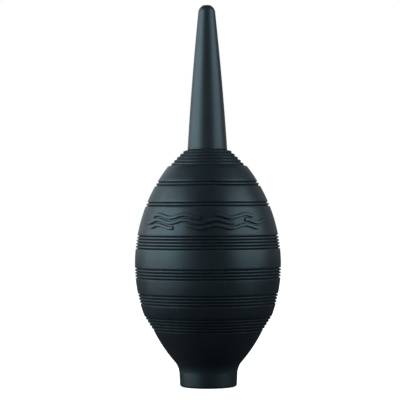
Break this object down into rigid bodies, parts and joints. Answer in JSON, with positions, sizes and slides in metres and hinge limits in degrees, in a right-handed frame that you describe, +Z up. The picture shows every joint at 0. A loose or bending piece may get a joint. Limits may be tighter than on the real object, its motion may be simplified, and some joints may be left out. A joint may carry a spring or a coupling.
{
  "type": "dust blower bulb",
  "caption": "Ribbed egg-shaped rubber squeeze bulb on a flat foot, with a filtered intake valve below and a long tapered push-on nozzle over an outlet check valve.",
  "frame": {"origin": "centre of the foot's face, on the surface that the blower stands on", "axes": "+Z up along the blower's axis, from the foot to the nozzle's tip; -Y is the front, the side with the raised motif"},
  "size_m": [0.062, 0.062, 0.1619],
  "materials": {
    "bulb_rubber": "satin moulded rubber",
    "nozzle_plastic": "satin moulded plastic",
    "cap_plastic": "fine matt moulded plastic",
    "valve_plastic": "natural moulded plastic",
    "valve_silicone": "satin silicone",
    "filter_felt": "needled felt"
  },
  "bodies": {
    "bulb": {"bulb": "bulb_rubber", "intake_housing": "valve_plastic", "intake_keeper": "valve_plastic"},
    "neck": {"neck_plug": "valve_plastic", "outlet_keeper": "valve_plastic"},
    "outlet_disc": {"outlet_disc": "valve_silicone"},
    "nozzle": {"nozzle": "nozzle_plastic"},
    "intake_disc": {"intake_disc": "valve_silicone"},
    "filter_cap": {"filter_cap": "cap_plastic", "filter_pad": "filter_felt"}
  },
  "joints": [
    {"name": "squeeze", "type": "slide", "parent": "bulb", "child": "neck", "axis": [0, 0, -1], "range_m": [0, 0.02], "stiffness_N_per_m": 1200, "deforming": ["bulb"]},
    {"name": "nozzle_pull", "type": "slide", "parent": "neck", "child": "nozzle", "axis": [0, 0, 1], "range_m": [0, 0.015]},
    {"name": "outlet_lift", "type": "slide", "parent": "neck", "child": "outlet_disc", "axis": [0, 0, 1], "range_m": [0, 0.0013]},
    {"name": "intake_lift", "type": "slide", "parent": "bulb", "child": "intake_disc", "axis": [0, 0, 1], "range_m": [0, 0.0013]},
    {"name": "filter_cap_pull", "type": "slide", "parent": "bulb", "child": "filter_cap", "axis": [0, 0, -1], "range_m": [0, 0.008]}
  ]
}
